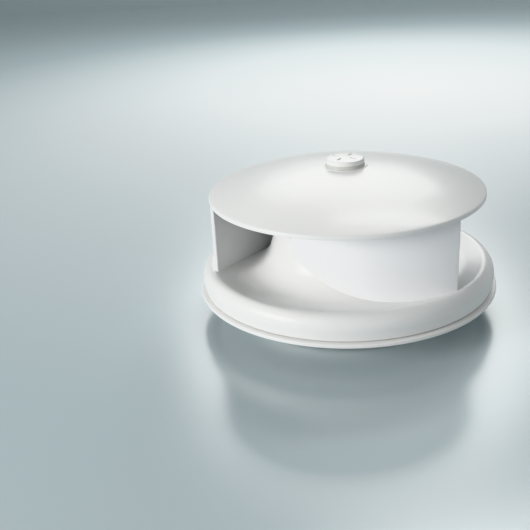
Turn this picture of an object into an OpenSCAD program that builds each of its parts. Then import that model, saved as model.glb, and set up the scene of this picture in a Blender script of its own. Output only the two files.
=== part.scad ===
// Low deck vent with a domed cap over three curved vanes and a screw-down damper.
// Millimetres. The origin is the centre of the deck ring's underside, +Z up.

/* [Deck ring] */
// Radius of the flange that lies on the deck
flange_r = 115; // [114:0.5:120]
// Thickness of the flange
flange_t = 2.5; // [2:0.1:3]
// Outer radius of the spigot that passes through the deck
spigot_r = 80; // [79:0.5:81]
// Length of the spigot below the deck
spigot_len = 18; // [17:0.5:24]
// Bore radius of the air duct
duct_r = 47.5; // [46:0.5:48]
// Circle diameter of the deck screws
deck_screw_pcd = 188; // [184:1:190]
// Radius of each deck screw hole
deck_screw_r = 2.5; // [2:0.1:3]

/* [Pan] */
// Thickness of the moulded skin
skin = 3; // [2.5:0.1:3.2]
// Radius of the crest of the outer bead
crest_r = 105.5; // [105:0.1:106]
// Height of the crest above the deck
crest_z = 21.2; // [20.5:0.1:22]
// Height of the bottom of the gutter above the deck
gutter_z = 15.2; // [14.8:0.1:15.6]
// Height of the coaming's rim above the deck
rim_z = 48; // [46:0.5:48.5]

/* [Vanes] */
// Radius of each vane's curve, at the middle of its thickness
vane_bend_r = 107.8; // [106:0.1:109]
// Thickness of each vane
vane_t = 2.8; // [2.2:0.1:3]
// Radius, from the vent's axis, at which the outer end stands
vane_outer_r = 103.2; // [101:0.1:104]
// Bearing of the front vane's outer end
vane_bearing = -48.5; // [-180:0.1:180]

/* [Cap] */
// Radius of the cap's edge
cap_r = 104; // [103.6:0.1:108]
// Height of the top of the cap's edge above the deck
cap_edge_z = 75.5; // [75:0.5:78]
// Height of the cap's crown above the deck
crown_z = 93; // [92:0.1:94]
// Thickness of the cap
cap_t = 3; // [2.5:0.1:3.5]

/* [Knob and damper] */
// Radius of the knob
knob_r = 14.5; // [14:0.5:17]
// Height of the knob's top above the deck
knob_top_z = 99.6; // [99.6:0.1:101]
// Radius of the spindle's thread
spindle_r = 4; // [3.8:0.1:4]
// Drop of the damper for one turn of the knob
thread_lead = 4; // [3:0.5:5]
// Turns of the knob from open to closed
closing_turns = 5; // [4:1:5]
// Radius of the damper disc
damper_r = 53.5; // [53:0.1:54]

/* [Interior grille] */
// Radius of the grille
grille_r = 70; // [68:0.5:72]
// Thickness of the grille
grille_t = 2.5; // [2:0.1:3]
// Number of slots
slot_count = 7; // [5:2:7]
// Distance from slot to slot
slot_pitch = 14.6; // [13:0.1:14.6]
// Width of each slot
slot_w = 7.5; // [5:0.5:8]
// Circle diameter of the grille's screws
grille_pcd = 120; // [118:1:122]

/* [Hidden] */
$fn = 96;
whisker = 0.02;       // gap between two bonded or seated faces
running = 0.05;       // radial clearance of a running fit
past = 1;             // how far a cutter reaches beyond its work

// deck ring
duct_wall = 2.5;
duct_top_z = 14;
duct_foot_z = -spigot_len + 2;
tube_wall = 3;
locating_rib_r = 103.2;
locating_rib_w = 2.4;
locating_rib_top = 5;
groove_r = 104;
groove_w = 6;
gasket_t = 1.2;
deck_screws = 6;
deck_screw_bearing = 12;
countersink = 2.2;

// pan
seal_t = 0.8;
foot_z = flange_t + seal_t;
foot_r = 111.8;
foot_in_r = 103.5;
foot_t = 2.5;
bead_r = 112.8;
bead_z = 11;
crest_round = 8;
gutter_slope = 21;
gutter_round = 28;
flare_r = 80;
flare_round = 22;
flare_slope = 70;
rim_in_r = duct_r + duct_wall + 0.1;
rim_out_r = 53.6;
rim_bevel = 0.9;
throat_foot_z = flange_t + 1.5;
weep_bearings = [53, 83, 113];
weep_w = 6;
weep_h = 1.2;
drain_r = 2.4;
drain_circle_r = 95;

// shared screw posts
post_r = 4.5;
screw_r = 1.98;
screw_hole_r = 2;
pan_screw_r = 66;
pan_screw_bearing = 72.3;
pan_screw_top = 13.5;
pan_screw_head_r = 4;
pan_screw_head_h = 2.6;
grille_bearing = 27.3;
grille_screw_top = -5;
grille_hole_r = 2.25;
grille_head_r = 4.2;

// vanes
vane_tilt = -28.5;    // angle from the outer end's bearing to the bend's radius there
vane_sweep = 67.2;    // angle of the bend that the vane covers

// cap and knob
function dome_r(rise) = (cap_r * cap_r + rise * rise) / (2 * rise);
cap_rise = crown_z - cap_edge_z;
cap_dome = dome_r(cap_rise);
cap_under_z = crown_z - cap_t;
pad_r = 16.5;
pad_z = crown_z + 0.2;
boss_r = 16;
boss_z = 87;
bush_r = 7;
bush_head_r = 11;
bush_head_t = 1.5;
bush_foot_z = 80;
nut_af = 24;
nut_t = 4.5;
seat_t = 2;
seat_bevel = 0.9;
seat_lip_r = 6.4;
knob_gap = 0.15;
knob_bore_top = knob_top_z - 1.3;
knob_round = 1.4;
grip_count = 4;
grip_bearing = 50;
grip_w = 2.6;
grip_in_r = 4.2;
grip_out_r = 10.6;
grip_depth = 1.4;
set_screw_r = 1.2;
set_screw_bearing = 95;

// spindle and damper
travel = thread_lead * closing_turns;
seal_gap = 0.05;
damper_seal_t = 3;
damper_seal_w = 4.2;
damper_z = rim_z + seal_gap + travel + damper_seal_t;
damper_t = 2.5;
hub_r = 11;
hub_low = damper_z - 4;
hub_high = damper_z + 6;
insert_r = 6.98;
insert_flange_r = 9;
insert_flange_t = 1.5;
spindle_low = rim_z - 5;
clip_t = 0.8;
clip_r = 6.5;
clip_groove_r = 3.2;
low_clip_z = spindle_low + 1.2;
pin_r = 2;
pin_circle_r = 36;
pin_count = 3;
pin_bearing = 20;
pin_boss_r = 4.5;
pin_boss_z = 78;
pin_top = 85;
pin_low = rim_z;
rib_count = 6;
rib_t = 2;
rib_h = 2.2;

// insect screen
screen_z = -11;
screen_t = 0.8;
screen_r = 48.4;
screen_seat_r = 48.6;
screen_pitch = 5;
screen_wire = 1;
screen_rim = 1.8;
keeper_in_r = 45.6;
keeper_r = 48.5;
keeper_low = -15.4;

slot_field_r = 47;

// ---- shared shapes ----

// Points of an arc about (r, z), from one angle to another
function arc(r, z, rad, from, to, steps = 8) =
    [for (i = [0 : steps]) let (a = from + (to - from) * i / steps)
        [r + rad * cos(a), z + rad * sin(a)]];

// Points of an elliptical arc about (r, z)
function oval(r, z, a_r, a_z, from, to, steps = 12) =
    [for (i = [0 : steps]) let (a = from + (to - from) * i / steps)
        [r + a_r * cos(a), z + a_z * sin(a)]];

module ring(r_out, r_in, low, high) {
    difference() {
        translate([0, 0, low]) cylinder(r = r_out, h = high - low);
        translate([0, 0, low - past]) cylinder(r = r_in, h = high - low + 2 * past);
    }
}

module around(count, radius, bearing) {
    for (i = [0 : count - 1]) {
        rotate(bearing + i * 360 / count) translate([radius, 0, 0]) children();
    }
}

module rod(radius, low, high) {
    translate([0, 0, low]) cylinder(r = radius, h = high - low);
}

// ---- deck ring and its seals ----

module flange_plate() {
    rotate_extrude() polygon(concat(
        [[duct_r, 0], [flange_r, 0]],
        arc(flange_r - 1, flange_t - 1, 1, 0, 90),
        [[duct_r, flange_t]]));
}

module deck_ring() {
    color("whitesmoke") difference() {
        union() {
            flange_plate();
            ring(spigot_r, spigot_r - tube_wall, -spigot_len, 0.5);
            ring(duct_r + duct_wall, duct_r, duct_foot_z, duct_top_z);
            ring(locating_rib_r, locating_rib_r - locating_rib_w, 0.5, locating_rib_top);
            around(4, grille_pcd / 2, grille_bearing) rod(post_r, -spigot_len, 0.5);
        }
        ring(groove_r + groove_w, groove_r, -past, gasket_t);
        rod(screen_seat_r, duct_foot_z - past, screen_z + screen_t + whisker);
        around(4, grille_pcd / 2, grille_bearing)
            rod(screw_hole_r, -spigot_len - past, grille_screw_top + 0.5);
        around(3, pan_screw_r, pan_screw_bearing) rod(screw_hole_r, -past, flange_t + past);
        around(deck_screws, deck_screw_pcd / 2, deck_screw_bearing) {
            rod(deck_screw_r, -past, flange_t + past);
            translate([0, 0, flange_t - 1])
                cylinder(r1 = deck_screw_r, r2 = deck_screw_r + countersink, h = 1.01);
        }
    }
}

module deck_gasket() {
    color("dimgray")
        ring(groove_r + groove_w - whisker, groove_r + whisker, 0, gasket_t - whisker);
}

module pan_seal() {
    color("black") ring(108.4, 104, flange_t + whisker, foot_z - whisker);
}

// ---- pan: bead, gutter and flared coaming in one skin ----

// The pan's upper surface, from the bead's widest point in to the coaming's rim
function pan_top() = concat(
    oval(crest_r, bead_z, bead_r - crest_r, crest_z - bead_z, 0, 90),
    arc(crest_r, crest_z - crest_round, crest_round, 90, 90 + gutter_slope, 4),
    arc(gutter_end_r, gutter_z + gutter_round, gutter_round, -90 + gutter_slope, -90, 6),
    arc(flare_r, gutter_z + flare_round, flare_round, -90, -90 - flare_slope, 14),
    [[rim_out_r, rim_z - rim_bevel], [rim_out_r - rim_bevel, rim_z]]);

// The same surface, one skin thickness lower, from the coaming out to the bead
function pan_under() = concat(
    [[rim_in_r + skin, rim_z - 6.5]],
    arc(flare_r, gutter_z + flare_round, flare_round + skin, -90 - flare_slope, -90, 14),
    arc(gutter_end_r, gutter_z + gutter_round, gutter_round + skin, -90, -90 + gutter_slope, 6),
    arc(crest_r, crest_z - crest_round, crest_round - skin, 90 + gutter_slope, 90, 4),
    oval(crest_r, bead_z, bead_r - crest_r - skin, crest_z - bead_z - skin, 90, 0));

// Radius at which the gutter's outer slope has become level
slope_drop = crest_z - crest_round * (1 - cos(gutter_slope))
    - gutter_z - gutter_round * (1 - cos(gutter_slope));
gutter_end_r = crest_r - crest_round * sin(gutter_slope)
    - slope_drop / tan(gutter_slope) - gutter_round * sin(gutter_slope);

module pan_skin() {
    rotate_extrude($fn = 180) polygon(concat(
        [[foot_r, foot_z]],
        pan_top(),
        [[rim_in_r, rim_z], [rim_in_r, throat_foot_z], [rim_in_r + skin, throat_foot_z]],
        pan_under(),
        [[foot_r - 2.6, foot_z + foot_t], [foot_in_r, foot_z + foot_t], [foot_in_r, foot_z]]));
}

// Everything below the pan's upper surface, for fitting the vanes to it
module below_pan() {
    rotate_extrude($fn = 180) polygon(concat([[0, 0], [bead_r, 0]], pan_top(), [[0, rim_z]]));
}

module pan() {
    color("white") difference() {
        union() {
            pan_skin();
            around(3, pan_screw_r, pan_screw_bearing) rod(post_r, flange_t + whisker, 17.5);
        }
        around(3, pan_screw_r, pan_screw_bearing)
            rod(screw_hole_r, flange_t - past, pan_screw_top + 0.5);
        for (bearing = weep_bearings) rotate([0, 0, bearing]) {
            translate([foot_r - 6, -weep_w / 2, foot_z - past])
                cube([12, weep_w, weep_h + past]);
            translate([drain_circle_r, 0, 0]) rod(drain_r, 8, 30);
        }
    }
}

module pan_screws() {
    color("silver") around(3, pan_screw_r, pan_screw_bearing) difference() {
        union() {
            rod(screw_r, -0.5, pan_screw_top);
            rod(pan_screw_head_r, -pan_screw_head_h, -whisker);
        }
        translate([0, 0, -pan_screw_head_h - past]) cylinder(r = 1.5, h = past + 1.4, $fn = 6);
    }
}

// ---- vanes ----

// Plan of one vane: a strip along a bend, its outer end on the x axis at vane_outer_r
module vane_plan() {
    translate([vane_outer_r, 0]) rotate(vane_tilt) translate([-vane_bend_r, 0])
        intersection() {
            difference() {
                circle(r = vane_bend_r + vane_t / 2, $fn = 240);
                circle(r = vane_bend_r - vane_t / 2, $fn = 240);
            }
            polygon(concat([[0, 0]],
                [for (i = [0 : 6]) 2 * vane_bend_r
                    * [cos(-vane_sweep * i / 6), sin(-vane_sweep * i / 6)]]));
        }
}

module vane(turn) {
    color("ghostwhite") rotate(vane_bearing + turn) difference() {
        translate([0, 0, gutter_z - 2]) linear_extrude(height = crown_z - gutter_z) vane_plan();
        translate([0, 0, whisker]) below_pan();
        translate([0, 0, -whisker]) above_cap_underside();
    }
}

module vane_front() {
    vane(0);
}

module vane_left() {
    vane(-120);
}

module vane_rear() {
    vane(120);
}

// ---- cap ----

// Points of the dome, from the edge up to the axis, moved down by a drop
function dome(drop, steps = 20) =
    [for (i = [0 : steps]) let (r = cap_r * (1 - i / steps))
        [r, crown_z - drop - cap_dome + sqrt(cap_dome * cap_dome - r * r)]];

function reversed(list) = [for (i = [len(list) - 1 : -1 : 0]) list[i]];

module cap_shell() {
    edge_round = 0.8;
    rotate_extrude($fn = 180) polygon(concat(
        [[0, cap_under_z]],
        reversed([for (q = dome(cap_t)) if (q[0] > 0) q]),
        arc(cap_r - edge_round, cap_edge_z - edge_round, edge_round, 0, 82, 4),
        [for (q = dome(0)) if (q[0] < cap_r - 2 * edge_round) q]));
}

module above_cap_underside() {
    rotate_extrude($fn = 180) polygon(concat(
        dome(cap_t),
        [[0, crown_z + 5], [cap_r + 10, crown_z + 5], [cap_r + 10, cap_edge_z - cap_t]]));
}

module cap() {
    color("white") difference() {
        union() {
            cap_shell();
            rod(pad_r, cap_under_z, pad_z);
            rod(boss_r, boss_z, cap_under_z + 1);
            around(pin_count, pin_circle_r, pin_bearing)
                rod(pin_boss_r, pin_boss_z, cap_under_z);
        }
        rod(bush_r + whisker, boss_z - past, pad_z + past);
        around(pin_count, pin_circle_r, pin_bearing)
            rod(pin_r + whisker, pin_boss_z - past, pin_top + whisker);
    }
}

module guide_pins() {
    color("silver") around(pin_count, pin_circle_r, pin_bearing) rod(pin_r, pin_low, pin_top);
}

// ---- bush, knob and spindle ----

module cap_bush() {
    color("gainsboro") difference() {
        union() {
            rod(bush_r, bush_foot_z, pad_z + 0.5);
            rod(bush_head_r, pad_z + whisker, pad_z + bush_head_t);
        }
        rod(spindle_r + running, bush_foot_z - past, knob_top_z);
    }
}

module bush_nut() {
    color("gainsboro") difference() {
        translate([0, 0, boss_z - whisker - nut_t])
            cylinder(d = nut_af / cos(30), h = nut_t, $fn = 6);
        rod(bush_r + whisker, boss_z - nut_t - past, boss_z + past);
    }
}

module knob_seat() {
    low = pad_z + whisker;
    high = pad_z + seat_t;
    step = pad_z + bush_head_t + whisker;
    color("gainsboro") rotate_extrude() polygon([
        [bush_head_r + whisker, low], [knob_r + seat_bevel, low], [knob_r - 0.4, high],
        [seat_lip_r, high], [seat_lip_r, step], [bush_head_r + whisker, step]]);
}

module knob_blank() {
    low = pad_z + seat_t + knob_gap;
    crown = 0.6;
    edge_z = knob_top_z - crown;
    rotate_extrude() polygon(concat(
        [[0, low], [knob_r - 0.4, low], [knob_r, low + 0.4]],
        arc(knob_r - knob_round, edge_z - knob_round, knob_round, 0, 75, 6),
        [for (i = [4 : -1 : 0]) let (r = (knob_r - knob_round) * i / 5)
            [r, knob_top_z - crown * pow(i / 5, 2)]]));
}

// The top of the knob has four short straight recesses, for a key or a coin
module knob() {
    color("white") difference() {
        knob_blank();
        rod(spindle_r + whisker, pad_z, knob_bore_top);
        around(grip_count, grip_in_r, grip_bearing)
            translate([0, -grip_w / 2, knob_top_z - grip_depth])
                cube([grip_out_r - grip_in_r, grip_w, past + grip_depth]);
        rotate(set_screw_bearing) translate([spindle_r, 0, set_screw_z]) rotate([0, 90, 0])
            cylinder(r = set_screw_r + whisker, h = knob_r);
    }
}
set_screw_z = pad_z + seat_t + knob_gap + set_screw_r + 0.7;

module knob_set_screw() {
    length = knob_r - spindle_r - 1.6;
    color("silver") rotate(set_screw_bearing)
        translate([spindle_r + whisker, 0, set_screw_z]) rotate([0, 90, 0]) difference() {
            cylinder(r = set_screw_r, h = length);
            translate([0, 0, length - 1.2]) cylinder(r = 0.7, h = 2, $fn = 6);
        }
}

module spindle() {
    color("silver") difference() {
        rod(spindle_r, spindle_low, knob_bore_top - whisker);
        for (z = [low_clip_z, bush_foot_z - running - clip_t]) {
            ring(spindle_r + past, clip_groove_r, z - whisker, z + clip_t + whisker);
        }
    }
}

module spindle_clips() {
    mouth = 5;
    color("dimgray") for (z = [low_clip_z, bush_foot_z - running - clip_t]) {
        difference() {
            ring(clip_r, clip_groove_r + whisker, z, z + clip_t);
            translate([0, -mouth / 2, z - past]) cube([clip_r + past, mouth, clip_t + 2 * past]);
        }
    }
}

// ---- damper ----

module damper_disc() {
    color("whitesmoke") difference() {
        union() {
            rod(damper_r, damper_z, damper_z + damper_t);
            rod(hub_r, hub_low, hub_high);
            around(pin_count, pin_circle_r, pin_bearing)
                rod(pin_boss_r, damper_z - 2, damper_z + 5);
            around(rib_count, 0, pin_bearing + 30)
                translate([hub_r - 1, -rib_t / 2, damper_z + damper_t - 0.5])
                    cube([damper_r - hub_r - 4, rib_t, rib_h + 0.5]);
        }
        rod(insert_r + whisker, hub_low - past, hub_high + past);
        around(pin_count, pin_circle_r, pin_bearing)
            rod(pin_r + running, damper_z - 3, damper_z + 6);
    }
}

module damper_seal() {
    high = damper_z - whisker;
    low = damper_z - damper_seal_t;
    out = damper_r;
    in = damper_r - damper_seal_w;
    color("black") rotate_extrude() polygon([
        [in, high], [out, high], [out, low + 1], [out - 1, low], [in + 1, low], [in, low + 1]]);
}

module damper_nut() {
    color("goldenrod") difference() {
        union() {
            rod(insert_r, hub_low - 0.5, hub_high);
            rod(insert_flange_r, hub_low - insert_flange_t - whisker, hub_low - whisker);
        }
        rod(spindle_r + running, hub_low - 3, hub_high + past);
    }
}

// ---- insect screen and grille ----

module mesh_screen() {
    bars = floor(screen_r / screen_pitch);
    color("silver") translate([0, 0, screen_z]) linear_extrude(height = screen_t) {
        intersection() {
            circle(r = screen_r - 0.5);
            union() {
                for (i = [-bars : bars]) {
                    translate([i * screen_pitch - screen_wire / 2, -screen_r])
                        square([screen_wire, 2 * screen_r]);
                    translate([-screen_r, i * screen_pitch - screen_wire / 2])
                        square([2 * screen_r, screen_wire]);
                }
            }
        }
        difference() {
            circle(r = screen_r);
            circle(r = screen_r - screen_rim);
        }
    }
}

module mesh_keeper() {
    color("whitesmoke") ring(keeper_r, keeper_in_r, keeper_low, screen_z - whisker);
}

module grille_slot(offset_y) {
    half = sqrt(slot_field_r * slot_field_r - offset_y * offset_y) - slot_w / 2;
    for (side = [-1, 1]) {
        translate([side * half, offset_y]) circle(d = slot_w, $fn = 32);
    }
    translate([-half, offset_y - slot_w / 2]) square([2 * half, slot_w]);
}

module interior_grille() {
    top = -spigot_len - whisker;
    low = top - grille_t;
    middle = (slot_count - 1) / 2;
    color("dimgray") rotate(grille_bearing) difference() {
        rotate_extrude() polygon(concat(
            [[0, low]],
            arc(grille_r - 0.8, low + 0.8, 0.8, -90, 0, 4),
            [[grille_r, top], [0, top]]));
        translate([0, 0, low - past]) linear_extrude(height = grille_t + 2 * past)
            for (i = [0 : slot_count - 1]) grille_slot((i - middle) * slot_pitch);
        around(4, grille_pcd / 2, 0) {
            rod(grille_hole_r, low - past, top + past);
            translate([0, 0, low - 0.01])
                cylinder(r1 = grille_head_r, r2 = grille_hole_r, h = grille_head_r - grille_hole_r);
        }
    }
}

module grille_screws() {
    low = -spigot_len - grille_t;
    color("silver") around(4, grille_pcd / 2, grille_bearing) difference() {
        union() {
            translate([0, 0, low])
                cylinder(r1 = grille_head_r - 0.1, r2 = screw_r, h = grille_head_r - 0.1 - screw_r);
            rod(screw_r, low + 1, grille_screw_top);
        }
        translate([0, 0, low - past]) cylinder(r = 1.3, h = past + 1.2, $fn = 4);
    }
}

deck_ring();
deck_gasket();
pan_seal();
pan();
vane_front();
vane_left();
vane_rear();
cap();
pan_screws();
cap_bush();
bush_nut();
knob_seat();
guide_pins();
knob();
knob_set_screw();
spindle();
spindle_clips();
damper_disc();
damper_seal();
damper_nut();
mesh_screen();
mesh_keeper();
interior_grille();
grille_screws();
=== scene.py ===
"""Looks for the low deck vent: smooth moulded shells, woven screen, cut thread, and materials.

The frame is in metres. Sizes here are in millimetres and angles in degrees. They come from the
frame's boxes where a box gives them, and otherwise from named values: those that pieces share are
at the top, and a piece's own values open the function that builds it.
"""
import math

import bmesh
import bpy
from mathutils import Matrix, Vector


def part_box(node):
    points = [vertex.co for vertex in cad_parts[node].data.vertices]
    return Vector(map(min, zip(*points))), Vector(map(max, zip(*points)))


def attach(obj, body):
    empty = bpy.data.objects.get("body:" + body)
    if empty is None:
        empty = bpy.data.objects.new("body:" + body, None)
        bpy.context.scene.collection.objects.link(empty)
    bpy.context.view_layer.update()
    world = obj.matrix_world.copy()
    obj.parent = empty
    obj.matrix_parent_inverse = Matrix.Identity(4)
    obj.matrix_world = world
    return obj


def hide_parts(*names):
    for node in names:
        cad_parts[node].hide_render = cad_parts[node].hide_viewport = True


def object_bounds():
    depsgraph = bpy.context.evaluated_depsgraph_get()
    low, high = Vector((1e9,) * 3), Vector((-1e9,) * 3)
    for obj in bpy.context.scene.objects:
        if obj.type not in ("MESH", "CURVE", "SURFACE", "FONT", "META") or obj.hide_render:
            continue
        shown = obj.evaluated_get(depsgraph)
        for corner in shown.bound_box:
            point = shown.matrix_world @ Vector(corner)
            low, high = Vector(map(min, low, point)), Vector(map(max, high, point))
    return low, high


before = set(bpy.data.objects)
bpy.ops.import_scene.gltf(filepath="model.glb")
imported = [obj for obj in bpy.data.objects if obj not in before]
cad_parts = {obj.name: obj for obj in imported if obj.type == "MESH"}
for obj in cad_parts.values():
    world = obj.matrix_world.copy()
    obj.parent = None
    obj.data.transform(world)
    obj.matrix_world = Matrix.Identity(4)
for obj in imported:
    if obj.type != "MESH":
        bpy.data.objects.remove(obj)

CAD_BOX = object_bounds()
MM = 0.001
SEGMENTS = 240          # steps round a large moulding
SMALL_SEGMENTS = 160    # steps round the knob and its collar
SHARP_ANGLE = 32        # angle between faces above which an edge is shaded sharp
BEVELLED_SHARP = 45     # the same, once the edges have been bevelled
PAST = 1                # how far a cutter reaches beyond its work
PROUD = 0.01            # how far a countersink's cutter stands proud of the face


def box_mm(node):
    """A CAD node's lowest and highest corners, in millimetres."""
    low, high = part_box(node)
    return low / MM, high / MM


def cosd(a):
    return math.cos(math.radians(a))


def sind(a):
    return math.sin(math.radians(a))


def clamp(value):
    """The value held between 0 and 1."""
    return min(max(value, 0), 1)


# ---- shared dimensions ----

PAN_LOW, PAN_HIGH = box_mm("pan")
CAP_HIGH = box_mm("cap")[1]

# circles of screws and pins: how many, the circle's radius and the first one's bearing
PAN_SCREWS = (3, 66, 72.3)
GRILLE_SCREWS = (4, 60, 27.3)
DECK_SCREWS = (6, 94, 12)
GUIDE_PINS = (3, 36, 20)
SCREW_R = 2.0           # bore of a screw's hole
POST_R = 4.5            # post that a screw or a pin stands in

# deck ring and pan
FLANGE_T = 2.5
DUCT_R = 47.5
SKIN = 3.0
FOOT_Z = 3.3            # the pan stands on the deck ring and the seal
FOOT_R = 111.8
BEAD_R = PAN_HIGH.x
BEAD_Z = 11.0
CREST_R = 105.5
CREST_Z = 21.2
CREST_ROUND = 8.0
GUTTER_Z = 15.2
GUTTER_SLOPE = 21.0
GUTTER_ROUND = 28.0
FLARE_R = 80.0
FLARE_ROUND = 22.0
FLARE_SLOPE = 70.0
RIM_Z = PAN_HIGH.z
RIM_OUT_R = 53.6
RIM_IN_R = DUCT_R + 2.6
RIM_BEVEL = 0.9
THROAT_FOOT_Z = 4.0

# the gutter's straight slope ends where its bottom curve begins
SLOPE_DROP = (CREST_Z - CREST_ROUND * (1 - cosd(GUTTER_SLOPE))
              - GUTTER_Z - GUTTER_ROUND * (1 - cosd(GUTTER_SLOPE)))
GUTTER_END_R = (CREST_R - CREST_ROUND * sind(GUTTER_SLOPE)
                - SLOPE_DROP / math.tan(math.radians(GUTTER_SLOPE))
                - GUTTER_ROUND * sind(GUTTER_SLOPE))

# vanes
VANE_BEARING = -48.5    # bearing of the front vane's outer end
VANE_OUTER_R = 103.2    # distance of that end from the vent's axis
VANE_BEND_R = 107.8
VANE_TILT = -28.5       # angle from the end's bearing to the bend's radius there
VANE_SWEEP = 67.2       # angle of the bend that a vane covers
VANE_T = 2.8

# cap
CAP_R = CAP_HIGH.x
CAP_T = 3.0
CAP_EDGE_Z = 75.5
PAD_RISE = 0.2          # the knob's pad stands this much above the dome's crown
CROWN_Z = CAP_HIGH.z - PAD_RISE
CAP_RISE = CROWN_Z - CAP_EDGE_Z
CAP_DOME = (CAP_R ** 2 + CAP_RISE ** 2) / (2 * CAP_RISE)


# ---- places and outlines ----

def bearings(count, first=0.0):
    """Bearings spaced evenly round a circle."""
    return [first + 360 * i / count for i in range(count)]


def around(count, radius, first):
    """Places (x, y, bearing) spaced evenly round a circle."""
    return [(radius * cosd(turn), radius * sind(turn), turn) for turn in bearings(count, first)]


def circle(radius, steps, x=0.0, y=0.0):
    """Points of a circle about (x, y)."""
    return [(x + radius * cosd(a), y + radius * sind(a)) for a in bearings(steps)]


def oval(r, z, rad_r, rad_z, start, end, steps):
    """Points of an elliptical arc about (r, z)."""
    turn = [math.radians(start + (end - start) * i / steps) for i in range(steps + 1)]
    return [(r + rad_r * math.cos(a), z + rad_z * math.sin(a)) for a in turn]


def arc(r, z, rad, start, end, steps):
    """Points of a circular arc about (r, z)."""
    return oval(r, z, rad, rad, start, end, steps)


def rounded(corners, steps=4):
    """A closed outline whose corners (r, z, fillet) are rounded to their own fillet radius."""
    longest = 0.45          # share of a side that one fillet may take
    out = []
    for i, (r, z, fillet) in enumerate(corners):
        if fillet <= 0:
            out.append((r, z))
            continue
        here = Vector((r, z))
        to_last = Vector(corners[i - 1][:2]) - here
        to_next = Vector(corners[(i + 1) % len(corners)][:2]) - here
        half = to_last.angle(to_next) / 2
        reach = min(fillet / math.tan(half), longest * to_last.length, longest * to_next.length)
        first = here + to_last.normalized() * reach
        last = here + to_next.normalized() * reach
        for k in range(steps + 1):
            t = k / steps
            point = first * (1 - t) ** 2 + here * 2 * t * (1 - t) + last * t * t
            out.append((point.x, point.y))
    return out


# ---- meshes ----

def add_object(name, data):
    """A new object in the scene."""
    obj = bpy.data.objects.new(name, data)
    bpy.context.scene.collection.objects.link(obj)
    return obj


def mesh_object(name, verts, faces):
    """An object from points in millimetres, shaded smooth between its sharp edges."""
    mesh = bpy.data.meshes.new(name)
    mesh.from_pydata([(x * MM, y * MM, z * MM) for x, y, z in verts], [], faces)
    obj = add_object(name, mesh)
    tidy_mesh(obj)
    return obj


def tidy_mesh(obj):
    """Outward normals, no doubled points, smooth shading with sharp edges kept."""
    same_place = 1e-7       # metres
    bm = bmesh.new()
    bm.from_mesh(obj.data)
    bmesh.ops.remove_doubles(bm, verts=bm.verts, dist=same_place)
    bmesh.ops.dissolve_degenerate(bm, edges=bm.edges, dist=same_place)
    bmesh.ops.recalc_face_normals(bm, faces=bm.faces)
    bm.to_mesh(obj.data)
    bm.free()
    shade(obj, SHARP_ANGLE)


def shade(obj, sharp):
    """Smooth shading, with the edges above an angle kept sharp."""
    obj.data.polygons.foreach_set("use_smooth", [True] * len(obj.data.polygons))
    obj.data.set_sharp_from_angle(angle=math.radians(sharp))
    obj.data.update()


def revolve(name, outline, segments=SEGMENTS):
    """A closed outline of (radius, height) turned about the vent's axis."""
    on_axis = 1e-6
    verts, rings = [], []
    for r, z in outline:
        start = len(verts)
        if r < on_axis:
            verts.append((0, 0, z))
            rings.append([start] * segments)
            continue
        for s in range(segments):
            a = 2 * math.pi * s / segments
            verts.append((r * math.cos(a), r * math.sin(a), z))
        rings.append(list(range(start, start + segments)))
    faces = []
    for i, ring in enumerate(rings):
        after = rings[(i + 1) % len(rings)]
        for s in range(segments):
            t = (s + 1) % segments
            corner = [ring[s], ring[t], after[t], after[s]]
            face = [v for k, v in enumerate(corner) if v != corner[k - 1]]
            if len(face) > 2:
                faces.append(face)
    return mesh_object(name, verts, faces)


def wall(name, loop, low, high):
    """An upright wall over a closed plan loop, between the heights low(r) and high(r)."""
    count = len(loop)
    reach = [math.hypot(x, y) for x, y in loop]
    verts = [(x, y, low(r)) for (x, y), r in zip(loop, reach)]
    verts += [(x, y, high(r)) for (x, y), r in zip(loop, reach)]
    faces = [[i, (i + 1) % count, count + (i + 1) % count, count + i] for i in range(count)]
    half = count // 2
    for base in (0, count):
        faces += [[base + i, base + i + 1, base + count - 2 - i, base + count - 1 - i]
                  for i in range(half - 1)]
    return mesh_object(name, verts, faces)


def tube(path, radius, sides):
    """Points and faces of a round wire along a path, with closed ends."""
    verts, faces = [], []
    for i, point in enumerate(path):
        along = (path[min(i + 1, len(path) - 1)] - path[max(i - 1, 0)]).normalized()
        side = along.cross(Vector((0, 0, 1))).normalized()
        up = side.cross(along)
        for k in range(sides):
            a = 2 * math.pi * k / sides
            verts.append(point + (side * math.cos(a) + up * math.sin(a)) * radius)
    for i in range(len(path) - 1):
        for k in range(sides):
            n = (k + 1) % sides
            faces.append([i * sides + k, i * sides + n, (i + 1) * sides + n, (i + 1) * sides + k])
    faces.append(list(range(sides)))
    faces.append([(len(path) - 1) * sides + k for k in range(sides)])
    return verts, faces


def loose(bm):
    """An object made from a bmesh, for boolean() to use up."""
    mesh = bpy.data.meshes.new("cutter")
    bm.to_mesh(mesh)
    bm.free()
    return add_object("cutter", mesh)


def rod(radius, low, high, x=0.0, y=0.0, top_radius=None):
    """An upright cylinder, or a cone where the top's radius differs."""
    bm = bmesh.new()
    bmesh.ops.create_cone(bm, cap_ends=True, segments=48, radius1=radius * MM,
                          radius2=(radius if top_radius is None else top_radius) * MM,
                          depth=(high - low) * MM)
    bmesh.ops.translate(bm, verts=bm.verts, vec=Vector((x, y, (low + high) / 2)) * MM)
    return loose(bm)


def rods(places, radius, low, high, top_radius=None):
    """A rod at each of the places round a circle."""
    return [rod(radius, low, high, x, y, top_radius) for x, y, _ in around(*places)]


def bar(size, at, turn):
    """A box of the given size about a place, turned about the vent's axis."""
    bm = bmesh.new()
    bmesh.ops.create_cube(bm, size=1)
    bmesh.ops.scale(bm, verts=bm.verts, vec=Vector(size) * MM)
    bmesh.ops.translate(bm, verts=bm.verts, vec=Vector(at) * MM)
    bmesh.ops.rotate(bm, verts=bm.verts, matrix=Matrix.Rotation(math.radians(turn), 3, "Z"))
    return loose(bm)


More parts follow.
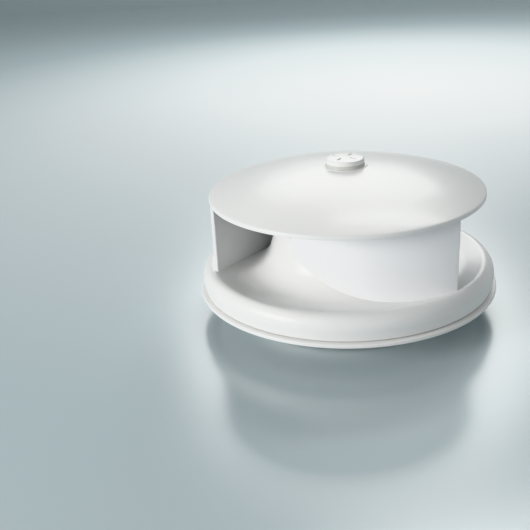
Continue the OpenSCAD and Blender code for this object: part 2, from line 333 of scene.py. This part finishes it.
def apply_modifiers(obj):
    """Puts the modifiers' result in place of the object's mesh."""
    graph = bpy.context.evaluated_depsgraph_get()
    mesh = bpy.data.meshes.new_from_object(obj.evaluated_get(graph))
    obj.modifiers.clear()
    old = obj.data
    obj.data = mesh
    bpy.data.meshes.remove(old)


def boolean(obj, tools, operation):
    """Joins the tools to obj or cuts them from it, one at a time, and deletes them."""
    for tool in tools:
        step = obj.modifiers.new("cut", "BOOLEAN")
        step.operation = operation
        step.solver = "EXACT"
        step.object = tool
        apply_modifiers(obj)
        bpy.data.objects.remove(tool)
    tidy_mesh(obj)


def bevel(obj, width, angle, segments):
    """Rounds the edges that are sharper than an angle."""
    step = obj.modifiers.new("edges", "BEVEL")
    step.width = width * MM
    step.segments = segments
    step.limit_method = "ANGLE"
    step.angle_limit = math.radians(angle)
    step.harden_normals = False
    apply_modifiers(obj)
    shade(obj, BEVELLED_SHARP)


# ---- the surfaces that pieces share: the pan's top and the cap's dome ----

def pan_surface(depth=0.0):
    """The pan's upper surface, from the bead's widest point to the flare, sunk by a depth."""
    out = oval(CREST_R, BEAD_Z, BEAD_R - CREST_R - depth, CREST_Z - BEAD_Z - depth, 0, 90, 28)
    out += arc(CREST_R, CREST_Z - CREST_ROUND, CREST_ROUND - depth, 90, 90 + GUTTER_SLOPE, 8)[1:]
    out += arc(GUTTER_END_R, GUTTER_Z + GUTTER_ROUND, GUTTER_ROUND + depth,
               -90 + GUTTER_SLOPE, -90, 16)
    out += arc(FLARE_R, GUTTER_Z + FLARE_ROUND, FLARE_ROUND + depth, -90, -90 - FLARE_SLOPE, 40)
    return out


PAN_TOP = pan_surface() + [(RIM_OUT_R, RIM_Z - RIM_BEVEL), (RIM_OUT_R - RIM_BEVEL, RIM_Z),
                           (0, RIM_Z)]


def pan_height(r):
    """Height of the pan's upper surface at a radius."""
    for (r1, z1), (r2, z2) in zip(PAN_TOP, PAN_TOP[1:]):
        if r2 <= r <= r1 and r1 > r2:
            return z1 + (z2 - z1) * (r1 - r) / (r1 - r2)
    return PAN_TOP[0][1]


def cap_height(r, drop=0.0):
    """Height of the dome at a radius, moved down by a drop."""
    return CROWN_Z - drop - CAP_DOME + math.sqrt(CAP_DOME ** 2 - r * r)


# ---- pieces of the base ----

def rim_corners():
    """The rim's two rounded corners, between the flare's end and the throat."""
    flare_r, flare_z = pan_surface()[-1]
    corners = [(flare_r, flare_z, 0), (RIM_OUT_R, RIM_Z, 1.1), (RIM_IN_R, RIM_Z, 0.5),
               (RIM_IN_R, THROAT_FOOT_Z, 0)]
    return rounded(corners, 6)[1:-1]


def build_pan():
    """The foot, bead, gutter and flare, the rim, then the throat and the skin's underside."""
    foot_chamfer = 0.6
    foot_t = 2.5
    foot_in_r = 103.5
    skin_foot_r = 109.2         # where the bead's inside meets the foot
    solid_rim = 6.5
    post_top = 17.5
    pilot_top = 14
    weep_bearings = (53, 83, 113)
    weep_size = (12, 6, 2.2)
    weep_z = FOOT_Z + 0.1
    drain_r = 2.4
    drain_circle_r = 95
    drain_top = 30
    outline = [(FOOT_R - foot_chamfer, FOOT_Z), (FOOT_R, FOOT_Z + foot_chamfer)]
    outline += pan_surface() + rim_corners()
    outline += [(RIM_IN_R, THROAT_FOOT_Z), (RIM_IN_R + SKIN, THROAT_FOOT_Z),
                (RIM_IN_R + SKIN, RIM_Z - solid_rim)]
    outline += reversed(pan_surface(SKIN))
    outline += [(skin_foot_r, FOOT_Z + foot_t), (foot_in_r, FOOT_Z + foot_t), (foot_in_r, FOOT_Z)]
    pan = revolve("pan_shell", outline)
    boolean(pan, rods(PAN_SCREWS, POST_R, PAN_LOW.z, post_top), "UNION")
    cuts = rods(PAN_SCREWS, SCREW_R, PAN_LOW.z - PAST, pilot_top)
    for turn in weep_bearings:
        cuts.append(bar(weep_size, (FOOT_R, 0, weep_z), turn))
        cuts.append(rod(drain_r, BEAD_Z - SKIN, drain_top,
                        drain_circle_r * cosd(turn), drain_circle_r * sind(turn)))
    boolean(pan, cuts, "DIFFERENCE")
    return pan


def vane_loop():
    """Plan of the front vane, outer end to inner end and back, its ends rounded."""
    steps = 96
    half = VANE_T / 2
    nose = 0.7                  # radius of the rounding at each end
    nose_turn = math.degrees(nose / VANE_BEND_R)
    end = Vector((VANE_OUTER_R, 0))
    centre = end - Vector((cosd(VANE_TILT), sind(VANE_TILT))) * VANE_BEND_R
    profile = [(nose_turn * (1 - cosd(a)), half - nose * (1 - sind(a))) for a in range(0, 91, 15)]
    middle = VANE_SWEEP - 2 * nose_turn
    sweep = profile + [(nose_turn + middle * i / steps, half) for i in range(1, steps)]
    sweep += [(VANE_SWEEP - turn, width) for turn, width in reversed(profile)]
    outer, inner = [], []
    for turn, width in sweep:
        ray = Vector((cosd(VANE_TILT - turn), sind(VANE_TILT - turn)))
        outer.append(centre + ray * (VANE_BEND_R + width))
        inner.append(centre + ray * (VANE_BEND_R - width))
    return outer + list(reversed(inner))


def build_vane(name, turn):
    """The front vane turned about the axis, between the pan's top and the cap's underside."""
    gap = 0.02
    a = math.radians(VANE_BEARING + turn)
    loop = [(p.x * math.cos(a) - p.y * math.sin(a), p.x * math.sin(a) + p.y * math.cos(a))
            for p in vane_loop()]
    return wall(name, loop, lambda r: pan_height(r) + gap, lambda r: cap_height(r, CAP_T) - gap)


def build_cap():
    """The dome with its soft edge, the knob's pad, the bush's boss and the guide pins' bosses."""
    edge = 1.6                  # rounding of the cap's upper edge
    steps = 60
    pad_top_r = 16.1
    pad_foot_r = 16.8
    dome_from = 17.5            # the dome's own points lie between these two radii
    dome_to = CAP_R - 2 * edge
    bush_r = 7.02
    boss_r = 16
    boss_z = 87
    boss_fillet = 1.2
    pin_boss_z = 78
    pin_r = 2.02
    pin_top = 85.02
    crown = [(CAP_R * i / steps, cap_height(CAP_R * i / steps)) for i in range(steps + 1)]
    under = [(r, z - CAP_T) for r, z in crown]
    outline = [(bush_r, CAP_HIGH.z), (pad_top_r, CAP_HIGH.z), (pad_foot_r, cap_height(pad_foot_r))]
    outline += [q for q in crown if dome_from < q[0] < dome_to]
    rim = [(*crown[-4], 0), (CAP_R, CAP_EDGE_Z, edge), (CAP_R, CAP_EDGE_Z - CAP_T, 0.5),
           (*under[-4], 0)]     # its two ends only give the rounding its directions
    outline += rounded(rim, 6)[1:-1]
    outline += [q for q in reversed(under) if boss_r + boss_fillet < q[0] < dome_to]
    outline += rounded([(boss_r + boss_fillet, cap_height(boss_r + boss_fillet, CAP_T), 0),
                        (boss_r, cap_height(boss_r, CAP_T), 0.6), (boss_r, boss_z, 0.5),
                        (bush_r, boss_z, 0)])[1:]
    cap = revolve("cap_shell", outline)
    boolean(cap, rods(GUIDE_PINS, POST_R, pin_boss_z, CROWN_Z - CAP_T), "UNION")
    boolean(cap, rods(GUIDE_PINS, pin_r, pin_boss_z - PAST, pin_top), "DIFFERENCE")
    return cap


def build_deck_ring():
    """The flange with its locating rib and gasket groove, the spigot, and the duct inside it."""
    ring_low, ring_high = box_mm("deck_ring")
    flange_r = ring_high.x
    foot = ring_low.z
    rib_in_r = 100.8
    rib_out_r = 103.2
    rib_top = 5
    groove_in_r = 104
    groove_out_r = 110
    groove_depth = 1.2
    spigot_out_r = 80
    spigot_in_r = 77
    duct_out_r = 50
    duct_top = 14
    duct_foot = foot + 2
    screen_seat_r = 48.6
    screen_seat_z = -10.18
    post_root = 0.5
    pilot_top = -4.5
    deck_screw_r = 2.5
    deck_head_r = 4.7
    deck_head_z = FLANGE_T - 1
    outline = rounded([
        (DUCT_R, screen_seat_z, 0), (DUCT_R, duct_top, 0.6), (duct_out_r, duct_top, 0.6),
        (duct_out_r, FLANGE_T, 0), (rib_in_r, FLANGE_T, 0), (rib_in_r, rib_top, 0.4),
        (rib_out_r, rib_top, 0.4), (rib_out_r, FLANGE_T, 0), (flange_r, FLANGE_T, 0.9),
        (flange_r, 0, 0.3), (groove_out_r, 0, 0), (groove_out_r, groove_depth, 0),
        (groove_in_r, groove_depth, 0), (groove_in_r, 0, 0), (spigot_out_r, 0, 0.2),
        (spigot_out_r, foot, 0.8), (spigot_in_r, foot, 0.6), (spigot_in_r, 0, 0.5),
        (duct_out_r, 0, 0.5), (duct_out_r, duct_foot, 0.4), (screen_seat_r, duct_foot, 0.2),
        (screen_seat_r, screen_seat_z, 0)])
    ring = revolve("deck_ring_shell", outline)
    boolean(ring, rods(GRILLE_SCREWS, POST_R, foot, post_root), "UNION")
    cuts = rods(GRILLE_SCREWS, SCREW_R, foot - PAST, pilot_top)
    cuts += rods(PAN_SCREWS, SCREW_R, -PAST, FLANGE_T + PAST)
    for x, y, _ in around(*DECK_SCREWS):
        cuts.append(rod(deck_screw_r, -PAST, FLANGE_T + PAST, x, y))
        cuts.append(rod(deck_screw_r, deck_head_z, FLANGE_T + PROUD, x, y, deck_head_r))
    boolean(ring, cuts, "DIFFERENCE")
    return ring


def add_loop(curve, points):
    """Adds a closed loop of points to a flat curve."""
    spline = curve.splines.new("POLY")
    spline.points.add(len(points) - 1)
    for point, (x, y) in zip(spline.points, points):
        point.co = (x * MM, y * MM, 0, 1)
    spline.use_cyclic_u = True


def slot_loop(y, half_length, half_width):
    """Points of a round-ended slot along X at the place y."""
    right = [(half_length + half_width * cosd(a), y + half_width * sind(a))
             for a in range(-90, 91, 6)]
    return right + [(-p, 2 * y - q) for p, q in right]


def build_grille():
    """A disc with slots and countersunk holes, filled in from flat loops with soft edges."""
    low, high = box_mm("interior_grille")
    edge = 0.45
    slot_count = 7
    slot_pitch = 14.6
    slot_half = 3.75            # half a slot's width
    field_r = 47.0              # the slots end on this circle
    hole_r = 2.25
    head_r = 4.2
    head_depth = 1.95
    screws, screw_circle_r, bearing = GRILLE_SCREWS
    plate = bpy.data.curves.new("grille", "CURVE")
    plate.dimensions = "2D"
    plate.fill_mode = "BOTH"
    plate.extrude = ((high.z - low.z) / 2 - edge) * MM
    plate.bevel_depth = edge * MM
    plate.bevel_resolution = 3
    plate.offset = -edge * MM
    add_loop(plate, circle(high.x, SEGMENTS))
    for i in range(slot_count):
        y = (i - (slot_count - 1) / 2) * slot_pitch
        add_loop(plate, slot_loop(y, math.sqrt(field_r ** 2 - y * y) - slot_half, slot_half))
    for x, y, _ in around(screws, screw_circle_r, 0):
        add_loop(plate, circle(hole_r, 36, x, y))
    curve = add_object("grille_curve", plate)
    mesh = bpy.data.meshes.new_from_object(curve)
    bpy.data.objects.remove(curve)
    grille = add_object("grille_plate", mesh)
    place = Matrix.Translation((0, 0, (low.z + high.z) / 2 * MM))
    mesh.transform(Matrix.Rotation(math.radians(bearing), 4, "Z") @ place)
    tidy_mesh(grille)
    heads = rods(GRILLE_SCREWS, head_r, low.z - PROUD, low.z + head_depth, hole_r)
    boolean(grille, heads, "DIFFERENCE")
    return grille


def build_screen():
    """Plain-woven wire cloth that fills the screen's folded rim."""
    low, high = box_mm("mesh_screen")
    radius = high.x - 0.5       # the wires end inside the rim
    middle = (low.z + high.z) / 2
    pitch = 1.9
    wire = 0.16
    wire_sides = 5
    lift = (high.z - low.z) / 2 - wire
    verts, faces = [], []
    count = int(radius / pitch)
    for axis in (0, 1):
        for i in range(-count, count + 1):
            across = i * pitch
            half = math.sqrt(radius ** 2 - across ** 2)
            steps = max(4, int(4 * half / pitch))
            path = []
            for k in range(steps + 1):
                along = -half + 2 * half * k / steps
                z = middle + lift * math.cos(math.pi * (along / pitch + i + axis))
                path.append(Vector((along, across, z) if axis == 0 else (across, along, z)))
            wire_verts, wire_faces = tube(path, wire, wire_sides)
            faces += [[n + len(verts) for n in face] for face in wire_faces]
            verts += wire_verts
    return mesh_object("mesh_screen_cloth", verts, faces)


def build_screen_rim():
    """The folded edge round the wire cloth."""
    low, high = box_mm("mesh_screen")
    in_r = high.x - 1.8
    edge = 0.15
    return revolve("mesh_screen_rim", rounded([
        (in_r, low.z, edge), (high.x, low.z, edge), (high.x, high.z, edge),
        (in_r, high.z, edge)], 3))


def build_pan_seal():
    """The flat ring between the pan's foot and the deck ring."""
    low, high = box_mm("pan_seal")
    in_r = 104
    return revolve("pan_seal_ring", rounded([
        (in_r, low.z, 0.2), (high.x, low.z, 0.35), (high.x, high.z, 0.35), (in_r, high.z, 0.2)]))


def build_knob_seat():
    """The bevelled collar, hollow below for the bush's head, with a lip over it."""
    low, high = box_mm("knob_seat")
    bevel_w = 1.3
    head_r = 11.02
    head_top = high.z - 0.48
    lip_r = 6.4
    return revolve("knob_seat_collar", rounded([
        (head_r, low.z, 0), (high.x, low.z, 0.3), (high.x - bevel_w, high.z, 0.35),
        (lip_r, high.z, 0.2), (lip_r, head_top, 0), (head_r, head_top, 0)]), SMALL_SEGMENTS)


# ---- knob, spindle and damper ----

def build_knob():
    """A low button with a faintly crowned top, grip slots and the spindle's bore."""
    low, high = box_mm("knob")
    radius = high.x
    crown = 0.6
    top_round = 1.4
    foot_round = 0.45
    round_sweep = 78            # the crown takes over before the rounding is level
    steps = 12
    grip_count = 4
    grip_bearing = 50
    grip_middle_r = 7.4
    grip_size = (6.4, 2.6, 4)
    grip_depth = 1.4
    bore_r = 4.02
    roof = 1.3                  # left over the bore
    flat_r = radius - top_round
    round_z = high.z - crown - top_round
    outline = rounded([(0, low.z, 0), (radius, low.z, foot_round), (radius, round_z, 0)])
    outline += arc(flat_r, round_z, top_round, 0, round_sweep, 8)[1:]
    outline += [(flat_r * i / steps, high.z - crown * (i / steps) ** 2)
                for i in reversed(range(steps))]
    knob = revolve("knob_cap", outline, SMALL_SEGMENTS)
    grip_z = high.z - grip_depth + grip_size[2] / 2
    cuts = [bar(grip_size, (grip_middle_r, 0, grip_z), turn)
            for turn in bearings(grip_count, grip_bearing)]
    cuts.append(rod(bore_r, low.z - PAST, high.z - roof))
    boolean(knob, cuts, "DIFFERENCE")
    bevel(knob, 0.28, 35, 3)
    return knob


def build_spindle():
    """The shaft with a left-hand two-start thread below the bush, and plain above it."""
    low, high = box_mm("spindle")
    major = high.x
    lead = 4.0
    starts = 2
    thread_depth = 1.05
    crest = 0.13                # half the crest's width, as a share of the pitch
    flank = 0.16                # width of a flank, as a share of the pitch
    run_out = 1.2               # length over which the thread fades at its ends
    thread_low = low.z + 1.0
    thread_high = 76.0
    foot_chamfer = 0.5
    sides = 48
    step = 0.2
    verts, rings = [], []
    heights = [low.z + i * step for i in range(int((high.z - low.z) / step) + 1)] + [high.z]
    for z in heights:
        start = len(verts)
        fade = clamp((z - thread_low) / run_out) * clamp((thread_high - z) / run_out)
        for s in range(sides):
            turn = s / sides
            phase = (z / lead + turn) * starts % 1.0
            groove = clamp((abs(phase - 0.5) - crest) / flank)
            radius = major - thread_depth * groove * fade
            if z < low.z + foot_chamfer:
                radius = min(radius, major - foot_chamfer)
            a = 2 * math.pi * turn
            verts.append((radius * math.cos(a), radius * math.sin(a), z))
        rings.append(range(start, start + sides))
    faces = [[a[s], a[(s + 1) % sides], b[(s + 1) % sides], b[s]]
             for a, b in zip(rings, rings[1:]) for s in range(sides)]
    faces += [list(rings[0]), list(rings[-1])]
    return mesh_object("spindle_shaft", verts, faces)


def build_damper():
    """The disc with its hub, ribs and the bosses that run on the guide pins."""
    low, high = box_mm("damper_disc")
    radius = high.x
    plate_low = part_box("damper_seal")[1].z / MM + 0.02
    plate_high = plate_low + 2.5
    hub_r = 11
    insert_r = 7.0
    boss_low = plate_low - 2
    boss_high = plate_low + 5
    pin_r = 2.05
    rib_count = 6
    rib_bearing = 50
    rib_t = 2
    rib_rise = 2.2              # above the plate
    rib_root = 0.5              # sunk into the plate
    rib_start = hub_r - 1
    rib_length = radius - 5 - rib_start
    rib_size = (rib_length, rib_t, rib_rise + rib_root)
    rib_place = (rib_start + rib_length / 2, 0, plate_high + (rib_rise - rib_root) / 2)
    outline = rounded([
        (insert_r, low.z, 0.4), (hub_r, low.z, 0.8), (hub_r, plate_low, 1.2),
        (radius, plate_low, 0.3), (radius, plate_high, 0.9), (hub_r, plate_high, 1.5),
        (hub_r, high.z, 0.8), (insert_r, high.z, 0.4)], 5)
    disc = revolve("damper_plate", outline)
    bosses = rods(GUIDE_PINS, POST_R, boss_low, boss_high)
    ribs = [bar(rib_size, rib_place, turn) for turn in bearings(rib_count, rib_bearing)]
    boolean(disc, bosses + ribs, "UNION")
    boolean(disc, rods(GUIDE_PINS, pin_r, low.z - PAST, high.z + PAST), "DIFFERENCE")
    bevel(disc, 0.25, 50, 2)
    return disc


def build_damper_seal():
    """A flat ring with a raised sealing face below."""
    low, high = box_mm("damper_seal")
    in_r = high.x - 4.2
    face_in_r = high.x - 3.2
    face_out_r = high.x - 1.0
    step_z = low.z + 1.0
    return revolve("damper_seal_ring", rounded([
        (in_r, high.z, 0.2), (in_r, step_z, 0.5), (face_in_r, low.z, 0.5),
        (face_out_r, low.z, 0.5), (high.x, step_z, 0.5), (high.x, high.z, 0.3)]))


# ---- materials ----

def node_material(name):
    """A new material, its node tree and its shader."""
    mat = bpy.data.materials.new(name)
    mat.use_nodes = True
    tree = mat.node_tree
    shader = tree.nodes["Principled BSDF"]
    return mat, tree, shader


def own_coordinates(tree):
    """The object's own coordinates, so that a texture moves with its piece."""
    return tree.nodes.new("ShaderNodeTexCoord").outputs["Object"]


def noise(tree, coords, scale, detail, roughness=0.5, stretch=None):
    """Noise in the object's own metres: scale is features per metre."""
    if stretch:
        mapping = tree.nodes.new("ShaderNodeMapping")
        mapping.inputs["Scale"].default_value = stretch
        tree.links.new(coords, mapping.inputs["Vector"])
        coords = mapping.outputs["Vector"]
    node = tree.nodes.new("ShaderNodeTexNoise")
    node.inputs["Scale"].default_value = scale
    node.inputs["Detail"].default_value = detail
    node.inputs["Roughness"].default_value = roughness
    tree.links.new(coords, node.inputs["Vector"])
    return node.outputs["Fac"]


def spread_value(tree, source, low, high):
    """Maps the middle half of 0..1, where most of a noise lies, to low..high."""
    node = tree.nodes.new("ShaderNodeMapRange")
    node.inputs["From Min"].default_value = 0.25
    node.inputs["From Max"].default_value = 0.75
    node.inputs["To Min"].default_value = low
    node.inputs["To Max"].default_value = high
    tree.links.new(source, node.inputs["Value"])
    return node.outputs["Result"]


def mix_colour(tree, factor, first, second):
    """The first colour where the factor is 0 and the second where it is 1."""
    node = tree.nodes.new("ShaderNodeMix")
    node.data_type = "RGBA"
    node.inputs["A"].default_value = (*first, 1)
    node.inputs["B"].default_value = (*second, 1)
    tree.links.new(factor, node.inputs["Factor"])
    return node.outputs["Result"]


def bump(tree, layers, base=None):
    """Chains height layers (source, depth in millimetres, strength) into one normal."""
    normal = base
    for source, depth, strength in layers:
        node = tree.nodes.new("ShaderNodeBump")
        node.inputs["Strength"].default_value = strength
        node.inputs["Distance"].default_value = depth * MM
        tree.links.new(source, node.inputs["Height"])
        if normal is not None:
            tree.links.new(normal, node.inputs["Normal"])
        normal = node.outputs["Normal"]
    return normal


def soft_edges(tree, radius):
    """A shading normal that rounds edges by a radius in millimetres."""
    node = tree.nodes.new("ShaderNodeBevel")
    node.samples = 4
    node.inputs["Radius"].default_value = radius * MM
    return node.outputs["Normal"]


def moulded(name, colour, shade_colour, rough=(0.30, 0.38), subsurface=0.12, edge=0.0):
    """Injection-moulded plastic: faint tone drift, orange-peel skin, fine rubbed scuffs."""
    mat, tree, shader = node_material(name)
    coords = own_coordinates(tree)
    drift = spread_value(tree, noise(tree, coords, 14, 2.0), 0, 1)
    tree.links.new(mix_colour(tree, drift, colour, shade_colour), shader.inputs["Base Color"])
    scuff = noise(tree, coords, 160, 6.0, 0.65, stretch=(1, 1, 0.35))
    tree.links.new(spread_value(tree, scuff, *rough), shader.inputs["Roughness"])
    peel = noise(tree, coords, 420, 2.0)
    grain = noise(tree, coords, 2600, 2.0)
    base = soft_edges(tree, edge) if edge else None
    normal = bump(tree, [(peel, 0.036, 0.6), (grain, 0.012, 0.5)], base)
    tree.links.new(normal, shader.inputs["Normal"])
    shader.inputs["IOR"].default_value = 1.52
    shader.inputs["Subsurface Weight"].default_value = subsurface
    shader.inputs["Subsurface Radius"].default_value = (0.004, 0.0036, 0.0032)
    shader.inputs["Coat Weight"].default_value = 0.12
    shader.inputs["Coat Roughness"].default_value = 0.12
    return mat


def textured_grey(name, colour):
    """Dark moulded plastic with a fine spark-eroded grain."""
    mat, tree, shader = node_material(name)
    coords = own_coordinates(tree)
    drift = spread_value(tree, noise(tree, coords, 22, 3.0), 0, 1)
    pale = tuple(1.18 * c for c in colour)
    tree.links.new(mix_colour(tree, drift, colour, pale), shader.inputs["Base Color"])
    grain = noise(tree, coords, 2400, 3.0, 0.6)
    tree.links.new(spread_value(tree, grain, 0.38, 0.52), shader.inputs["Roughness"])
    normal = bump(tree, [(grain, 0.05, 0.55)], soft_edges(tree, 0.2))
    tree.links.new(normal, shader.inputs["Normal"])
    return mat


def metal(name, colour, rough, stretch, scale=900, edge=0.25):
    """Turned or drawn metal with fine tool marks, longest on the axis where stretch is least."""
    mat, tree, shader = node_material(name)
    coords = own_coordinates(tree)
    marks = noise(tree, coords, scale, 4.0, 0.7, stretch)
    dull = spread_value(tree, noise(tree, coords, 60, 3.0), 0, 1)
    pale = tuple(min(1, 1.1 * c) for c in colour)
    tree.links.new(mix_colour(tree, dull, colour, pale), shader.inputs["Base Color"])
    tree.links.new(spread_value(tree, marks, rough - 0.07, rough + 0.1),
                   shader.inputs["Roughness"])
    normal = bump(tree, [(marks, 0.02, 0.5)], soft_edges(tree, edge))
    tree.links.new(normal, shader.inputs["Normal"])
    shader.inputs["Metallic"].default_value = 1.0
    return mat


def rubber_like(name, colour, scale, depth):
    """Matt rubber or foam with pits, scale to the metre and depth in millimetres."""
    mat, tree, shader = node_material(name)
    coords = own_coordinates(tree)
    pits = noise(tree, coords, scale, 3.0, 0.6)
    pale = tuple(1.5 * c + 0.01 for c in colour)
    tree.links.new(mix_colour(tree, spread_value(tree, pits, 0, 1), colour, pale),
                   shader.inputs["Base Color"])
    tree.links.new(spread_value(tree, pits, 0.5, 0.72), shader.inputs["Roughness"])
    tree.links.new(bump(tree, [(pits, depth, 0.6)], soft_edges(tree, 0.3)),
                   shader.inputs["Normal"])
    return mat


WHITE = moulded("white_abs", (0.915, 0.91, 0.895), (0.885, 0.885, 0.875))
VANE_WHITE = moulded("vane_abs", (0.90, 0.895, 0.905), (0.87, 0.87, 0.885), rough=(0.34, 0.42))
SMALL_WHITE = moulded("white_abs_small", (0.90, 0.90, 0.88), (0.86, 0.86, 0.85), edge=0.3)
NYLON = moulded("nylon", (0.70, 0.70, 0.66), (0.64, 0.64, 0.6), rough=(0.34, 0.44),
                subsurface=0.25, edge=0.35)
GREY = textured_grey("grey_abs", (0.085, 0.098, 0.112))
STEEL = metal("stainless", (0.60, 0.60, 0.61), 0.26, (1, 1, 0.06))
SPRING = metal("spring_steel", (0.30, 0.30, 0.32), 0.34, (1, 0.3, 1))
WIRE = metal("wire", (0.52, 0.52, 0.53), 0.32, (1, 1, 1), scale=2000, edge=0.0)
BRASS = metal("brass", (0.72, 0.52, 0.22), 0.24, (1, 1, 0.06))
RUBBER = rubber_like("rubber", (0.42, 0.42, 0.41), 1500, 0.04)
PALE_RUBBER = rubber_like("pale_rubber", (0.68, 0.68, 0.665), 1500, 0.04)
FOAM = rubber_like("foam", (0.05, 0.05, 0.053), 900, 0.2)


# ---- every piece, with its material and body ----

def dress(obj, material, body, slot, *nodes):
    """Gives a new piece its material and its body, and lets it stand for its CAD nodes."""
    obj.data.materials.clear()
    obj.data.materials.append(material)
    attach(obj, body)
    if nodes:
        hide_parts(*nodes)


dress(build_pan(), WHITE, "base", "white_abs", "pan")
dress(build_cap(), WHITE, "base", "white_abs", "cap")
dress(build_deck_ring(), WHITE, "base", "white_abs", "deck_ring")
for vane_name, vane_turn in (("vane_front", 0), ("vane_left", -120), ("vane_rear", 120)):
    dress(build_vane(vane_name + "_sheet", vane_turn), VANE_WHITE, "base", "vane_abs", vane_name)
dress(build_grille(), GREY, "base", "grey_abs", "interior_grille")
dress(build_screen(), WIRE, "base", "wire", "mesh_screen")
dress(build_screen_rim(), STEEL, "base", "wire")
dress(build_knob(), WHITE, "knob_and_spindle", "white_abs", "knob")
dress(build_spindle(), STEEL, "knob_and_spindle", "stainless", "spindle")
dress(build_damper(), SMALL_WHITE, "damper", "white_abs", "damper_disc")
dress(build_pan_seal(), PALE_RUBBER, "base", "rubber", "pan_seal")
dress(build_damper_seal(), RUBBER, "damper", "rubber", "damper_seal")
dress(build_knob_seat(), NYLON, "base", "nylon", "knob_seat")

# the hardware keeps its CAD meshes and takes these materials
KEPT = {"deck_gasket": FOAM, "pan_screws": STEEL, "cap_bush": NYLON, "bush_nut": NYLON,
        "guide_pins": STEEL, "knob_set_screw": STEEL, "spindle_clips": SPRING,
        "damper_nut": BRASS, "mesh_keeper": SMALL_WHITE, "grille_screws": STEEL}
for node_name, node_finish in KEPT.items():
    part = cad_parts[node_name]
    part.data.materials.clear()
    part.data.materials.append(node_finish)
    shade(part, SHARP_ANGLE)


# ---- stage, in metres ----

def build_floor():
    """A pale glossy sheet that curves up at its back, with a painted pool of light that makes it
    brightest right of and behind the vent.
    """
    floor_z = CAD_BOX[0][2]
    half_width = 6.0
    near = -3.0
    bend = 3.0
    radius = 1.5
    top = 4.0
    edge_tone = (0.52, 0.61, 0.64)
    # painted light: the floor's base colour turns from the outer tone to white round a spot right
    # of and behind the vent
    painted_light_tone = (1.0, 1.0, 1.0)
    painted_light_shift = (-0.2, -0.8, 0)
    painted_light_scale = (0.95, 0.95, 0)
    path = [(near, 0.0), (bend, 0.0)]
    path += [(bend + radius * sind(a), radius * (1 - cosd(a))) for a in range(5, 91, 5)]
    path.append((bend + radius, top))
    verts = [(side * half_width, y, floor_z + z) for y, z in path for side in (-1, 1)]
    faces = [[2 * i, 2 * i + 1, 2 * i + 3, 2 * i + 2] for i in range(len(path) - 1)]
    mesh = bpy.data.meshes.new("floor")
    mesh.from_pydata(verts, [], faces)
    mesh.polygons.foreach_set("use_smooth", [True] * len(mesh.polygons))
    floor = add_object("floor", mesh)
    mat, tree, shader = node_material("floor")
    place = tree.nodes.new("ShaderNodeMapping")
    place.inputs["Location"].default_value = painted_light_shift
    place.inputs["Scale"].default_value = painted_light_scale
    # painted pool of light: a round gradient that whitens the floor's colour
    painted_light_gradient = tree.nodes.new("ShaderNodeTexGradient")
    painted_light_gradient.gradient_type = "SPHERICAL"
    tree.links.new(own_coordinates(tree), place.inputs["Vector"])
    tree.links.new(place.outputs["Vector"], painted_light_gradient.inputs["Vector"])
    tone = mix_colour(tree, painted_light_gradient.outputs["Fac"], edge_tone, painted_light_tone)
    tree.links.new(tone, shader.inputs["Base Color"])
    shader.inputs["Roughness"].default_value = 0.22
    shader.inputs["IOR"].default_value = 1.8
    mesh.materials.append(mat)


def area_light(name, place, target, size, watts, colour):
    """A soft oval lamp at a place, aimed at a target."""
    data = bpy.data.lights.new(name, "AREA")
    data.shape = "ELLIPSE"
    data.size, data.size_y = size
    data.energy = watts
    data.color = colour
    lamp = add_object(name, data)
    lamp.location = place
    aim = Vector(target) - Vector(place)
    lamp.rotation_euler = aim.to_track_quat("-Z", "Y").to_euler()


def build_camera():
    """The photograph's view: 23 degrees down, with a slight roll."""
    place = Vector((-64.2, -569.4, 257.3)) * MM
    pitch = 23.05
    roll = -3.15
    forward = Vector((0, cosd(pitch), -sind(pitch)))
    level_up = Vector((0, sind(pitch), cosd(pitch)))
    level_right = Vector((1, 0, 0))
    right = level_right * cosd(roll) + level_up * sind(roll)
    up = level_up * cosd(roll) - level_right * sind(roll)
    turn = Matrix((right, up, -forward)).transposed()
    data = bpy.data.cameras.new("camera")
    data.sensor_width = 36
    data.lens = 53.14
    data.clip_start = 0.01
    camera = add_object("camera", data)
    camera.matrix_world = Matrix.Translation(place) @ turn.to_4x4()
    bpy.context.scene.camera = camera


def build_world():
    """Even, faintly cool light from all round."""
    world = bpy.data.worlds.new("studio")
    world.use_nodes = True
    back = world.node_tree.nodes["Background"]
    back.inputs["Color"].default_value = (0.90, 0.93, 0.94, 1)
    back.inputs["Strength"].default_value = 0.42
    bpy.context.scene.world = world


build_floor()
build_camera()
build_world()
area_light("key", (-1.35, -0.78, 0.45), (0, 0, 0.06), (0.9, 0.5), 17.5, (1.0, 0.99, 0.98))
area_light("fill", (0.25, -1.30, 0.40), (0, 0, 0.05), (0.8, 0.5), 0.7, (1.0, 0.98, 0.96))
area_light("back", (0.20, 1.50, 0.92), (0, 0.40, 0), (1.1, 0.8), 9, (1.0, 1.0, 0.98))
area_light("wash", (0.45, 0.95, 1.30), (0.30, 1.7, 0.0), (0.9, 0.5), 13, (1.0, 1.0, 0.98))
bpy.context.scene.view_settings.view_transform = "Khronos PBR Neutral"
